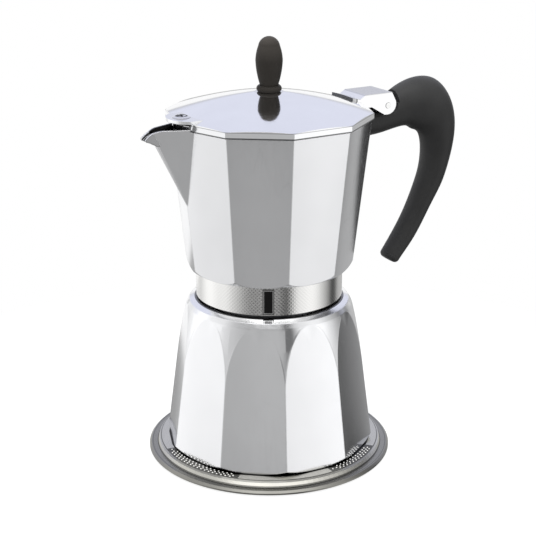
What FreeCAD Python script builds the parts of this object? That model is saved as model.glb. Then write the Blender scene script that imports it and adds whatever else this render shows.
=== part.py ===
import FreeCAD, Part
import math
import os
from FreeCAD import Vector

# Stovetop moka pot, millimetres. The origin is on the pot's axis at the underside of its base
# plate, +Z is up, the handle points to +X and the spout to -X.

# Facets of both cast bodies
SIDES = 10
BOILER_TURN = -3.5             # where the screwed joint comes to rest, degrees

# Base plate
PLATE_RADIUS = 60.0
PLATE_HEIGHT = 5.6
PLATE_STEP_RADIUS = 54.2
FLANGE_THICKNESS = 2.6
FLANGE_EDGE = 0.9              # rounding of the flange's edge
STEP_SLOPE = 1.6               # run of the step's side

# Boiler
BOILER_CORNER = 51.6           # corner radius of the facets at the foot
BOILER_LEAN = 0.1324           # radius lost per millimetre of height
BOILER_FOOT_RADIUS = 48.9
BOILER_FOOT_ROUND = 2.6
SHOULDER_START = 41.4          # above the foot, where the shoulder leaves the corners
SHOULDER_TOP = 73.6
SHOULDER_BULGE = 1.5           # half way up, past the middles of the facets
SHOULDER_RADIUS = 39.7
SHOULDER_EDGE = 1.4            # height of the turned edge under the lip
LIP_RADIUS = 37.4
BOILER_WALL = 3.0
BOILER_FLOOR = 4.0
FLOOR_ROUND = 3.0              # inner corner between floor and wall
NECK_RADIUS = 31.4
NECK_BORE = 29.2
NECK_HEIGHT = 12.6

# Collector
COLLAR_GAP = 1.3               # slot between the boiler's lip and the collector's collar
COLLAR_WALL = 2.6
COLLAR_CLEARANCE = 0.8
COLLAR_HEIGHT = 13.6
COLLECTOR_HEIGHT = 85.6        # from the collar's underside to the rim
COLLECTOR_CORNER_TOP = 48.0
COLLECTOR_LEAN = 0.110
COLLECTOR_WALL = 2.8
COLLECTOR_FLOOR = 3.4
FLOOR_DOME = 3.0               # rise of the floor over the filter
UNDERSIDE_ROUND = 5.6

# Trim band and its plate
BAND_THICKNESS = 0.6
BAND_INSET = 0.1
BADGE_ANGLE = -121.5
BADGE_WIDTH = 5.4
BADGE_HEIGHT = 12.2
BADGE_THICKNESS = 0.35

# Coffee funnel, gasket and filter
SHEET = 0.9
FUNNEL_CLEARANCE = 0.4
FLANGE_RADIUS = 31.2
BASKET_DEPTH = 26.0
CONE_DEPTH = 4.0
STEM_RADIUS = 4.6
STEM_FLOOR_GAP = 4.5
SCREEN_THICKNESS = 0.6
GASKET_THICKNESS = 3.6
GASKET_BORE = 25.5
SEAL_CLEARANCE = 0.3
FILTER_THICKNESS = 0.7
HOLE_RADIUS = 1.1
HOLE_RINGS = ((0.0, 1), (0.4, 6), (0.8, 12))    # share of the reach, and holes

# Riser column
RISER_BASE_RADIUS = 7.2
RISER_TOP_RADIUS = 5.4
RISER_SPIGOT = 5.6
RISER_BORE = 3.7
RISER_HEIGHT = 46.0
OUTLET_HEIGHT = 5.0
OUTLET_WIDTH = 3.4

# Spout
SPOUT_HEIGHT = 36.0
SPOUT_ROOT = 30.0              # where the wedge starts, inside the wall
SPOUT_REACH = 62.4
SPOUT_TIP = 65.4
SPOUT_NOSE = 2.7               # half width of the keel at the lip
SPOUT_HEEL = 0.5               # half width of the keel at its foot
SPOUT_FLARE = 0.42             # half width gained per millimetre towards the axis
SPOUT_WALL = 1.7
SPOUT_RISE = 1.2               # of the spout's edge over the rim, outside the lid
LIP_DROP = 2.6                 # of the tip below the rim
LIP_THICKNESS = 0.9
LIP_START = 5.0                # where the edge starts to curl, behind the keel's top
LIP_UNDER = 6.0                # where the curl's underside meets the keel, below the rim
LIP_WALL = 0.9

# Lid
LID_GAP = 0.3
LID_CORNER = 49.0
LID_SKIRT = 2.8
LID_SHEET = 1.2
LID_RISE = 9.4
LID_BULGE = 0.9                # of the slope, half way from the corners to the boss
LID_BOSS = 7.0                 # flat under the knob
TONGUE_HALF = 10.4
TONGUE_TIP = 52.6
TONGUE_START = 38.0
TONGUE_RISE = 2.2              # top of the tongue above the lid's corners
TONGUE_HEM = 1.4
TONGUE_RIVET_AT = 46.0
TONGUE_RIVET_HEAD = 4.2
TONGUE_RIVET_RISE = 1.5
TONGUE_RIVET_SHANK = 1.6

# Hinge
PIN_X = 62.0
PIN_Z_OVER_RIM = 0.8
PIN_RADIUS = 1.5
PIN_FIT = 0.05
CHEEK_INNER = 7.6
BRACKET_SHEET = 1.3
BRACKET_HALF = CHEEK_INNER + BRACKET_SHEET
BRACKET_TOP_OVER_PIN = 6.4
BRACKET_FRONT = 45.6
BRACKET_FOOT = 4.6
BRACKET_BACK_OVER_PIN = 2.0
CHEEK_RADIUS = 4.4
KNUCKLE_RADIUS = 4.6
SWEEP_CLEARANCE = 0.8
OPEN_CLEARANCE = 2.1           # behind the bracket when the lid stands open
BRACKET_RIVET_RADIUS = 1.1
BRACKET_RIVET_HEAD = 1.9
BRACKET_RIVET_SPREAD = 5.0

# Handle
HANDLE_WIDE = 9.0              # greatest half width
HANDLE_TIP_ROUND = 2.2         # rounding of the tip's edge
# Oval sections from root to tip: x, height over the rim, lean in degrees, half thickness, half width
HANDLE_SECTIONS = (
    (46.0, -9.4, 90.0, 6.8, 6.9),
    (58.0, -7.8, 90.0, 7.0, 7.1),
    (70.5, -3.4, 90.0, 9.7, 7.4),
    (79.5, -1.0, 84.0, 11.6, 8.4),
    (92.0, -4.2, 56.0, 13.4, HANDLE_WIDE),
    (98.8, -15.0, 32.0, 10.6, HANDLE_WIDE),
    (99.2, -26.0, 18.0, 8.5, 8.6),
    (96.4, -38.8, -10.0, 6.6, 7.8),
    (91.4, -49.8, -22.0, 5.8, 7.0),
    (84.4, -62.6, -29.0, 5.3, 6.4),
    (76.6, -73.8, -33.0, 5.0, 6.0),
    (70.8, -81.3, -36.0, 4.8, 5.7),
)
ROOT_HALF = 7.3
KNUCKLE_SEAT = 4.0             # below the pin, where the knuckle grows out of the root
LUG_LENGTH = 10.0
LUG_ROOT = 8.0                 # start of the lug and the handle inside the rim's corner
LUG_HALF = 3.4
LUG_HEIGHT = 9.0
LUG_TOP_BELOW_RIM = 3.6
LUG_FIT = 0.1
HANDLE_PIN_RADIUS = 1.6
HANDLE_PIN_HALF = 6.4

# Knob and its fixing
KNOB_HEIGHT = 25.6
KNOB_RADIUS = 6.35
KNOB_WIDEST = 14.6             # height of the greatest radius
KNOB_CROWN = 4.2               # height of the ball that closes the top
KNOB_CROWN_RADIUS = 5.0
KNOB_NECK = 4.25
KNOB_RING = 5.9
KNOB_RING_HEIGHT = 3.0
KNOB_RING_ROUND = 0.9
KNOB_SCREW_RADIUS = 1.8
KNOB_SCREW_DEPTH = 11.0
KNOB_SCREW_HEAD = 3.4
WASHER_RADIUS = 5.2
WASHER_THICKNESS = 0.8

# Safety valve
VALVE_FACET = 2                # counted from the handle, on the side away from the badge
VALVE_HEIGHT = 38.0            # above the foot
VALVE_SHANK = 4.5
VALVE_HEX = 12.0               # across flats
VALVE_HEX_LENGTH = 4.6
VALVE_INLET = 1.4
VALVE_CHAMBER = 2.9
VALVE_WASHER = 0.8
VALVE_WASHER_RADIUS = 6.6
VALVE_INSIDE = 2.4             # shank past the inner wall
VALVE_SEAT = 1.6
VALVE_CAP_LENGTH = 1.6
VALVE_CAP_RADIUS = 4.3
PLUNGER_HEAD = 2.5
PLUNGER_HEAD_LENGTH = 1.4
PLUNGER_STEM = 0.9
PLUNGER_SHOW = 2.0             # stem standing out of the cap
PLUNGER_TRAVEL = 1.2
SPRING_WIRE = 0.5
SPRING_PITCH = 1.2
SPRING_SPINE = 0.3
RUNNING_FIT = 0.1

# Heights and radii worked out from the sizes above
HALF_SIDE = math.pi / SIDES
FACET_RATIO = math.cos(HALF_SIDE)
FOOT_Z = PLATE_HEIGHT
LIP_Z = FOOT_Z + SHOULDER_TOP
NECK_TOP_Z = LIP_Z + NECK_HEIGHT
COLLAR_Z = LIP_Z + COLLAR_GAP
COLLAR_TOP_Z = COLLAR_Z + COLLAR_HEIGHT
RIM_Z = COLLAR_Z + COLLECTOR_HEIGHT
COLLAR_BORE = NECK_RADIUS + COLLAR_CLEARANCE
COLLAR_RADIUS = COLLAR_BORE + COLLAR_WALL
BAND_RADIUS = COLLAR_RADIUS + BAND_THICKNESS
FLANGE_TOP_Z = NECK_TOP_Z + SHEET
GASKET_TOP_Z = FLANGE_TOP_Z + GASKET_THICKNESS
FILTER_TOP_Z = GASKET_TOP_Z + FILTER_THICKNESS
SEAT_Z = FILTER_TOP_Z + SEAL_CLEARANCE
CHAMBER_FLOOR_Z = SEAT_Z + COLLECTOR_FLOOR + FLOOR_DOME
LID_Z = RIM_Z + LID_GAP
LID_EDGE_Z = LID_Z + LID_SKIRT
LID_TOP_Z = LID_EDGE_Z + LID_RISE
PIN_Z = RIM_Z + PIN_Z_OVER_RIM
BRACKET_TOP_Z = PIN_Z + BRACKET_TOP_OVER_PIN
AXIS = Vector(0, 0, 1)
SIDEWAYS = Vector(0, 1, 0)


def boiler_corner(z):
    return BOILER_CORNER - BOILER_LEAN * (z - FOOT_Z)


def collector_corner(z):
    return COLLECTOR_CORNER_TOP - COLLECTOR_LEAN * (RIM_Z - z)


def lid_surface(radius):
    """Height of the lid's skin, an arc from its corners to the boss under the knob."""
    run = LID_CORNER - LID_BOSS
    chord = math.hypot(run, LID_RISE)
    bend = (0.25 * chord ** 2 + LID_BULGE ** 2) / (2 * LID_BULGE)
    centre_r = 0.5 * (LID_CORNER + LID_BOSS) - (bend - LID_BULGE) * LID_RISE / chord
    centre_z = 0.5 * (LID_EDGE_Z + LID_TOP_Z) - (bend - LID_BULGE) * run / chord
    return centre_z + math.sqrt(bend ** 2 - (radius - centre_r) ** 2)


def lid_zone(drop, low, reach):
    """Everything under the lid's skin, lowered by a drop, out to a radius."""
    middle = 0.5 * (reach + LID_BOSS)
    return turned([
        (0, low), (reach, low), (reach, lid_surface(reach) - drop),
        [(middle, lid_surface(middle) - drop), (LID_BOSS, LID_TOP_Z - drop)], (0, LID_TOP_Z - drop)])


def wire_of(points):
    """A closed outline; a point given as a list of two is an arc's middle and end."""
    edges = []
    start = points[0]
    for item in points[1:] + points[:1]:
        if isinstance(item, list):
            middle, end = item
            edges.append(Part.Arc(start, middle, end).toShape())
        else:
            end = item
            edges.append(Part.makeLine(start, end))
        start = end
    return Part.Wire(edges)


def half(points):
    """Radius and height pairs as points of the half section on +X."""
    placed = []
    for item in points:
        if isinstance(item, list):
            placed.append([Vector(r, 0, z) for r, z in item])
        else:
            placed.append(Vector(item[0], 0, item[1]))
    return placed


def dome(radius, z, top):
    """Middle and end of the arc that closes a profile as part of a ball."""
    rise = top - z
    ball = (radius ** 2 + rise ** 2) / (2 * rise)
    lean = 0.5 * math.asin(radius / ball)
    return [(ball * math.sin(lean), top - ball + ball * math.cos(lean)), (0, top)]


def turned(points):
    return Part.Face(wire_of(half(points))).revolve(Vector(0, 0, 0), AXIS, 360)


def side_slab(points, half_width):
    """An outline in the plane of the handle and spout, thickened evenly to both sides."""
    face = Part.Face(wire_of(half(points)))
    face.translate(Vector(0, -half_width, 0))
    return face.extrude(Vector(0, 2 * half_width, 0))


def facet_wire(corner, z, turn=0.0):
    points = []
    for side in range(SIDES + 1):
        angle = math.radians(turn) + 2 * HALF_SIDE * side
        points.append(Vector(corner * math.cos(angle), corner * math.sin(angle), z))
    return Part.makePolygon(points)


def facet_body(corner_low, z_low, corner_high, z_high, turn=0.0):
    low = facet_wire(corner_low, z_low, turn)
    high = facet_wire(corner_high, z_high, turn)
    return Part.makeLoft([low, high], True, True)


def upright(radius, z_low, z_high, x=0.0, y=0.0):
    return Part.makeCylinder(radius, z_high - z_low, Vector(x, y, z_low), AXIS)


def crosswise(radius, half_length, x, z):
    return Part.makeCylinder(radius, 2 * half_length, Vector(x, -half_length, z), SIDEWAYS)


def ring(outer, inner, z_low, z_high):
    return upright(outer, z_low, z_high).cut(upright(inner, z_low, z_high))


def block(x_low, x_high, half_width, z_low, z_high):
    return Part.makeBox(x_high - x_low, 2 * half_width, z_high - z_low, Vector(x_low, -half_width, z_low))


def joined(*solids):
    return solids[0].multiFuse(list(solids[1:])).removeSplitter()


def perforated(disc, reach, z_low, z_high):
    """A round sheet with rings of holes."""
    drills = []
    for fraction, count in HOLE_RINGS:
        for index in range(count):
            angle = 2 * math.pi * index / count
            x = reach * fraction * math.cos(angle)
            y = reach * fraction * math.sin(angle)
            drills.append(upright(HOLE_RADIUS, z_low, z_high, x, y))
    return disc.cut(drills)


def induction_plate():
    step_low = PLATE_STEP_RADIUS + STEP_SLOPE
    return turned([
        (0, 0), (PLATE_RADIUS - 2 * FLANGE_EDGE, 0), (PLATE_RADIUS, FLANGE_EDGE),
        (PLATE_RADIUS, FLANGE_THICKNESS - FLANGE_EDGE),
        (PLATE_RADIUS - FLANGE_EDGE, FLANGE_THICKNESS),
        (step_low, FLANGE_THICKNESS), (PLATE_STEP_RADIUS + FLANGE_EDGE, PLATE_HEIGHT - FLANGE_EDGE),
        (PLATE_STEP_RADIUS, PLATE_HEIGHT), (0, PLATE_HEIGHT),
    ])


def shoulder_points():
    """Start, middle and end of the shoulder's arc."""
    start_z = FOOT_Z + SHOULDER_START
    end_z = LIP_Z - SHOULDER_EDGE
    middle_z = 0.5 * (start_z + end_z)
    start = (boiler_corner(start_z), start_z)
    middle = (FACET_RATIO * boiler_corner(middle_z) + SHOULDER_BULGE, middle_z)
    return start, middle, (SHOULDER_RADIUS, end_z)


def boiler():
    start, middle, end = shoulder_points()
    foot_top = FOOT_Z + BOILER_FOOT_ROUND
    outer_low = (boiler_corner(foot_top) + 0.3, foot_top)
    outside = turned([
        (0, FOOT_Z), (BOILER_FOOT_RADIUS, FOOT_Z), outer_low, start, [middle, end],
        (LIP_RADIUS, LIP_Z), (NECK_RADIUS, LIP_Z), (NECK_RADIUS, NECK_TOP_Z), (0, NECK_TOP_Z),
    ])
    facets = facet_body(boiler_corner(FOOT_Z), FOOT_Z, boiler_corner(LIP_Z), LIP_Z, BOILER_TURN)
    facets = facets.fuse(upright(NECK_RADIUS, LIP_Z - 1.0, NECK_TOP_Z))
    floor_z = FOOT_Z + BOILER_FLOOR
    low_z = floor_z + BOILER_FLOOR
    high_z = start[1] + 0.5 * (middle[1] - start[1])
    inside = turned([
        (0, floor_z), (FACET_RATIO * boiler_corner(low_z) - BOILER_WALL - FLOOR_ROUND, floor_z),
        (FACET_RATIO * boiler_corner(low_z) - BOILER_WALL, low_z),
        (FACET_RATIO * boiler_corner(high_z) - BOILER_WALL, high_z),
        (middle[0] - BOILER_WALL - 0.6, middle[1] + 2.0),
        (NECK_BORE, LIP_Z - BOILER_WALL), (NECK_BORE, NECK_TOP_Z), (0, NECK_TOP_Z),
    ])
    hole = valve_rod(VALVE_SHANK, -12.0, 4.0)
    return outside.common(facets).cut([inside, hole]).removeSplitter()


def valve_place():
    """Position of the valve: its own +Z points out of the boiler's facet."""
    angle = BOILER_TURN + math.degrees(HALF_SIDE) * (2 * VALVE_FACET + 1)
    z = FOOT_Z + VALVE_HEIGHT
    reach = FACET_RATIO * boiler_corner(z)
    tilt = math.degrees(math.atan(FACET_RATIO * BOILER_LEAN))
    spin = FreeCAD.Rotation(AXIS, angle).multiply(FreeCAD.Rotation(SIDEWAYS, 90.0 - tilt))
    base = Vector(reach * math.cos(math.radians(angle)), reach * math.sin(math.radians(angle)), z)
    return FreeCAD.Placement(base, spin)


def at_valve(shape):
    shape.Placement = valve_place().multiply(shape.Placement)
    return shape


def valve_rod(radius, low, high):
    return at_valve(upright(radius, low, high))


HEX_LOW = VALVE_WASHER
HEX_HIGH = HEX_LOW + VALVE_HEX_LENGTH
SHANK_LOW = -BOILER_WALL - VALVE_INSIDE
SEAT_LEVEL = SHANK_LOW + VALVE_SEAT
CAP_HIGH = HEX_HIGH + VALVE_CAP_LENGTH


def valve_body():
    hex_corner = 0.5 * VALVE_HEX / math.cos(math.pi / 6)
    corners = [Vector(hex_corner * math.cos(math.pi / 3 * k), hex_corner * math.sin(math.pi / 3 * k), HEX_LOW)
               for k in range(7)]
    nut = Part.Face(Part.makePolygon(corners)).extrude(Vector(0, 0, VALVE_HEX_LENGTH))
    body = nut.fuse(upright(VALVE_SHANK, SHANK_LOW, HEX_LOW))
    inlet = upright(VALVE_INLET, SHANK_LOW, SEAT_LEVEL)
    chamber = upright(VALVE_CHAMBER, SEAT_LEVEL, HEX_HIGH)
    return at_valve(body.cut([inlet, chamber]))


def valve_washer():
    return at_valve(ring(VALVE_WASHER_RADIUS, VALVE_SHANK, 0.0, VALVE_WASHER))


def valve_cap():
    plug = upright(VALVE_CHAMBER, HEX_HIGH - VALVE_CAP_LENGTH, HEX_HIGH)
    crown = upright(VALVE_CAP_RADIUS, HEX_HIGH, CAP_HIGH)
    bore = upright(PLUNGER_STEM + RUNNING_FIT, HEX_HIGH - VALVE_CAP_LENGTH, CAP_HIGH)
    return at_valve(joined(plug, crown).cut(bore))


def valve_plunger():
    head = upright(PLUNGER_HEAD, SEAT_LEVEL, SEAT_LEVEL + PLUNGER_HEAD_LENGTH)
    stem = upright(PLUNGER_STEM, SEAT_LEVEL, CAP_HIGH + PLUNGER_SHOW)
    return at_valve(joined(head, stem))


def valve_spring():
    """Rings of wire, spaced as the coil stands when the valve is open."""
    low = SEAT_LEVEL + PLUNGER_HEAD_LENGTH + PLUNGER_TRAVEL + RUNNING_FIT
    high = HEX_HIGH - VALVE_CAP_LENGTH
    middle = 0.5 * (PLUNGER_STEM + VALVE_CHAMBER)
    turns = max(1, round((high - low) / SPRING_PITCH))
    step = (high - low) / turns
    coil = []
    for turn in range(turns):
        z = low + step * turn
        wire = ring(middle + SPRING_WIRE, middle - SPRING_WIRE, z, z + 0.6 * step)
        coil.append(wire)
    spine = upright(SPRING_SPINE, low, high, middle)
    return at_valve(joined(*coil, spine))


BASKET_RADIUS = NECK_BORE - FUNNEL_CLEARANCE
BASKET_FLOOR_Z = FLANGE_TOP_Z - BASKET_DEPTH
STEM_Z = FOOT_Z + BOILER_FLOOR + STEM_FLOOR_GAP


def funnel():
    """Flanged basket, sloping floor and long stem, one drawn sheet."""
    stem_top = BASKET_FLOOR_Z - CONE_DEPTH
    stem_bore = STEM_RADIUS - SHEET
    return turned([
        (FLANGE_RADIUS, NECK_TOP_Z), (FLANGE_RADIUS, FLANGE_TOP_Z), (BASKET_RADIUS - SHEET, FLANGE_TOP_Z),
        (BASKET_RADIUS - SHEET, BASKET_FLOOR_Z), (stem_bore, stem_top), (stem_bore, STEM_Z),
        (STEM_RADIUS, STEM_Z), (STEM_RADIUS, stem_top - SHEET), (BASKET_RADIUS, BASKET_FLOOR_Z - SHEET),
        (BASKET_RADIUS, NECK_TOP_Z),
    ])


def funnel_screen():
    radius = BASKET_RADIUS - SHEET
    disc = upright(radius, BASKET_FLOOR_Z, BASKET_FLOOR_Z + SCREEN_THICKNESS)
    return perforated(disc, radius, BASKET_FLOOR_Z, BASKET_FLOOR_Z + SCREEN_THICKNESS)


def gasket():
    return ring(COLLAR_BORE - SEAL_CLEARANCE, GASKET_BORE, FLANGE_TOP_Z, GASKET_TOP_Z)


def filter_plate():
    radius = COLLAR_BORE - 2 * SEAL_CLEARANCE
    disc = upright(radius, GASKET_TOP_Z, FILTER_TOP_Z)
    return perforated(disc, GASKET_BORE, GASKET_TOP_Z, FILTER_TOP_Z)


def spout_wedge(reach, heel, nose, depth, top):
    """A wedge that widens upwards from a sharp keel's foot to the spout's edge."""
    foot = collector_corner(RIM_Z - depth) + reach - SPOUT_REACH
    sections = []
    for level, keel, keel_half in ((RIM_Z - depth, foot, heel), (top, reach, nose)):
        wide = keel_half + SPOUT_FLARE * (keel - SPOUT_ROOT)
        sections.append(Part.makePolygon([
            Vector(-SPOUT_ROOT, -wide, level), Vector(-keel, -keel_half, level),
            Vector(-keel, keel_half, level), Vector(-SPOUT_ROOT, wide, level),
            Vector(-SPOUT_ROOT, -wide, level)]))
    return Part.makeLoft(sections, True, True)


def lip_curl(lift):
    """Middle and end of the arc along which the spout's edge curls down to its tip."""
    middle_x = 0.5 * (SPOUT_TIP + SPOUT_REACH - LIP_START)
    middle_z = RIM_Z + 0.75 * (SPOUT_RISE + LIP_DROP) - LIP_DROP
    return [(-middle_x, middle_z + lift), (-SPOUT_TIP, RIM_Z - LIP_DROP + lift)]


def spout_lip():
    """Beak that curls outwards and down at the end of the spout."""
    start_x = -SPOUT_REACH + LIP_START
    tip_z = RIM_Z - LIP_DROP - LIP_THICKNESS
    under_z = RIM_Z - LIP_UNDER
    under_x = -SPOUT_REACH + 0.5 * LIP_START
    return side_slab([
        (start_x, RIM_Z + SPOUT_RISE), lip_curl(0.0), (-SPOUT_TIP + 0.5 * LIP_THICKNESS, tip_z),
        [(0.4 * under_x - 0.6 * SPOUT_TIP, 0.25 * under_z + 0.75 * tip_z), (under_x, under_z)],
        (start_x, under_z),
    ], SPOUT_NOSE)


def spout_edge():
    """What stands over the curl of the spout's edge, and over the rim inside the lid."""
    start_x = -SPOUT_REACH + LIP_START
    top = RIM_Z + SPOUT_RISE
    over_curl = side_slab([
        (start_x, top), lip_curl(0.0), (-SPOUT_TIP, top),
    ], SPOUT_NOSE + SPOUT_FLARE * SPOUT_REACH)
    under_lid = facet_body(LID_CORNER + LID_GAP, RIM_Z, LID_CORNER + LID_GAP, top)
    return [over_curl, under_lid]


def collector():
    underside = collector_corner(COLLAR_TOP_Z)
    round_z = COLLAR_TOP_Z + UNDERSIDE_ROUND
    outside = turned([
        (0, COLLAR_Z), (COLLAR_RADIUS, COLLAR_Z), (COLLAR_RADIUS, COLLAR_TOP_Z),
        (BAND_RADIUS + 0.3, COLLAR_TOP_Z),
        [(FACET_RATIO * underside + 0.55, COLLAR_TOP_Z + 1.1), (collector_corner(round_z) + 0.2, round_z)],
        (COLLECTOR_CORNER_TOP + 1.0, RIM_Z), (0, RIM_Z),
    ])
    facets = facet_body(collector_corner(COLLAR_Z), COLLAR_Z, COLLECTOR_CORNER_TOP, RIM_Z)
    lug = block(COLLECTOR_CORNER_TOP - LUG_ROOT, lug_end_x(), LUG_HALF, lug_low_z(), lug_low_z() + LUG_HEIGHT)
    body = outside.common(facets)
    spout = spout_wedge(SPOUT_REACH, SPOUT_HEEL, SPOUT_NOSE, SPOUT_HEIGHT, RIM_Z + SPOUT_RISE)
    spout = spout.fuse(spout_lip()).cut(spout_edge())
    body = body.multiFuse([spout, lug])
    inner_low = collector_corner(CHAMBER_FLOOR_Z) - COLLECTOR_WALL
    inner_high = collector_corner(RIM_Z) - COLLECTOR_WALL
    chamber = facet_body(inner_low, CHAMBER_FLOOR_Z, inner_high, RIM_Z)
    thread_bore = upright(COLLAR_BORE, COLLAR_Z, SEAT_Z)
    dome = turned([
        (0, SEAT_Z), (GASKET_BORE, SEAT_Z), (RISER_SPIGOT, SEAT_Z + COLLECTOR_FLOOR - 1.0),
        (RISER_SPIGOT, CHAMBER_FLOOR_Z), (0, CHAMBER_FLOOR_Z),
    ])
    channel_half = SPOUT_NOSE - LIP_WALL
    channel_depth = SPOUT_HEIGHT - COLLECTOR_WALL
    channel_top = RIM_Z + SPOUT_RISE
    channel = spout_wedge(SPOUT_REACH - SPOUT_WALL, SPOUT_HEEL, channel_half, channel_depth, channel_top)
    gutter_x = -SPOUT_REACH + LIP_START
    gutter = LIP_THICKNESS - LIP_DROP
    pouring_slot = side_slab([
        (gutter_x, channel_top), (gutter_x, channel_top + gutter), lip_curl(gutter),
        (-SPOUT_TIP - LIP_WALL, RIM_Z - LIP_DROP + gutter), (-SPOUT_TIP - LIP_WALL, channel_top),
    ], channel_half)
    return body.cut([chamber, thread_bore, dome, channel, pouring_slot, handle_pin()]).removeSplitter()


def riser_column():
    base_z = SEAT_Z + COLLECTOR_FLOOR - 1.0
    top_z = CHAMBER_FLOOR_Z + RISER_HEIGHT
    tube = turned([
        (RISER_BORE, base_z), (RISER_SPIGOT, base_z), (RISER_SPIGOT, CHAMBER_FLOOR_Z),
        (RISER_BASE_RADIUS, CHAMBER_FLOOR_Z), (RISER_TOP_RADIUS, top_z - 3.0),
        (RISER_TOP_RADIUS - 2.0, top_z), (0, top_z), (0, top_z - 3.0), (RISER_BORE, top_z - 3.0),
    ])
    outlet_z = top_z - 3.0 - OUTLET_HEIGHT
    outlet = block(-RISER_BASE_RADIUS, RISER_BASE_RADIUS, 0.5 * OUTLET_WIDTH, outlet_z, top_z - 3.0)
    return tube.cut(outlet)


def neck_band():
    return ring(BAND_RADIUS, COLLAR_RADIUS, COLLAR_Z + BAND_INSET, COLLAR_TOP_Z - BAND_INSET)


def band_badge():
    middle_z = 0.5 * (COLLAR_Z + COLLAR_TOP_Z)
    low = middle_z - 0.5 * BADGE_HEIGHT
    shell = ring(BAND_RADIUS + BADGE_THICKNESS, BAND_RADIUS, low, low + BADGE_HEIGHT)
    window = Part.makeBox(BAND_RADIUS * 2, BADGE_WIDTH, BADGE_HEIGHT, Vector(0, -0.5 * BADGE_WIDTH, low))
    window.rotate(Vector(0, 0, 0), AXIS, BADGE_ANGLE)
    return shell.common(window)


def tongue(half_width, tip, low, high):
    """Flat cover over the spout, with a rounded end."""
    arc_x = tip - 0.55 * half_width
    points = [
        Vector(-TONGUE_START, -half_width, low), Vector(-TONGUE_START, half_width, low),
        Vector(-arc_x, half_width, low),
        [Vector(-tip, 0, low), Vector(-arc_x, -half_width, low)],
    ]
    return Part.Face(wire_of(points)).extrude(Vector(0, 0, high - low))


def lid():
    def shape(inset):
        prism = facet_body(LID_CORNER - inset, LID_Z, LID_CORNER - inset, LID_TOP_Z)
        tongue_top = LID_EDGE_Z + TONGUE_RISE - inset
        tongue_low = tongue_top + inset - TONGUE_HEM
        cover = tongue(TONGUE_HALF - inset, TONGUE_TIP - inset, tongue_low - inset, tongue_top)
        return lid_zone(inset, LID_Z, LID_CORNER).common(prism).fuse(cover)

    solid = shape(0.0).cut(shape(LID_SHEET))
    drills = [upright(KNOB_SCREW_RADIUS, LID_Z, LID_TOP_Z + 1.0),
              upright(TONGUE_RIVET_SHANK, LID_Z, LID_TOP_Z, -TONGUE_RIVET_AT)]
    return solid.cut(drills + bracket_rivet_shanks()).removeSplitter()


def tongue_rivet():
    top = LID_EDGE_Z + TONGUE_RISE
    under = top - LID_SHEET
    head = turned([
        (0, top), (TONGUE_RIVET_HEAD, top), dome(TONGUE_RIVET_HEAD, top, top + TONGUE_RIVET_RISE)])
    shank = upright(TONGUE_RIVET_SHANK, under - 0.8, top)
    clinch = upright(TONGUE_RIVET_SHANK + 1.0, under - 0.8, under)
    rivet = joined(head, shank, clinch)
    rivet.translate(Vector(-TONGUE_RIVET_AT, 0, 0))
    return rivet


def bracket_rivet_places():
    x = BRACKET_FRONT - 0.5 * BRACKET_FOOT
    return [(x, -BRACKET_RIVET_SPREAD), (x, BRACKET_RIVET_SPREAD)]


def foot_height(x):
    """Top of the bracket's foot, a sheet laid on the lid."""
    return lid_surface(x) + BRACKET_SHEET


def bracket_rivet_shanks():
    shanks = []
    for x, y in bracket_rivet_places():
        shanks.append(upright(BRACKET_RIVET_RADIUS, LID_Z, LID_TOP_Z, x, y))
    return shanks


def bracket_rivets():
    """Two rivets, flush with the foot and headed under the lid."""
    flush = foot_solid()
    skin = lid_under()
    rivets = []
    for shank, (x, y) in zip(bracket_rivet_shanks(), bracket_rivet_places()):
        top = shank.common(joined(flush, skin))
        head_top = lid_surface(x + BRACKET_RIVET_HEAD + 1.0) - LID_SHEET
        head = upright(BRACKET_RIVET_HEAD, head_top - 1.0, lid_surface(x) - LID_SHEET + 1.0, x, y)
        head = head.cut(lid_solid_zone())
        rivets.append(joined(top, head))
    return Part.makeCompound(rivets)


def lid_under():
    return lid_zone(0.0, LID_Z, LID_CORNER).cut(lid_zone(LID_SHEET, LID_Z, LID_CORNER))


def lid_solid_zone():
    above = upright(LID_CORNER, LID_Z, LID_TOP_Z + LID_RISE)
    return above.cut(lid_zone(LID_SHEET, LID_Z, LID_CORNER))


def foot_solid():
    """Foot of the bracket: a strip that follows the lid's slope."""
    strip = block(BRACKET_FRONT - BRACKET_FOOT, BRACKET_FRONT + BRACKET_SHEET, BRACKET_HALF, LID_Z, LID_TOP_Z)
    layer = lid_zone(-BRACKET_SHEET, LID_Z, LID_CORNER).cut(lid_zone(0.0, LID_Z, LID_CORNER))
    return strip.common(layer)


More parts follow.
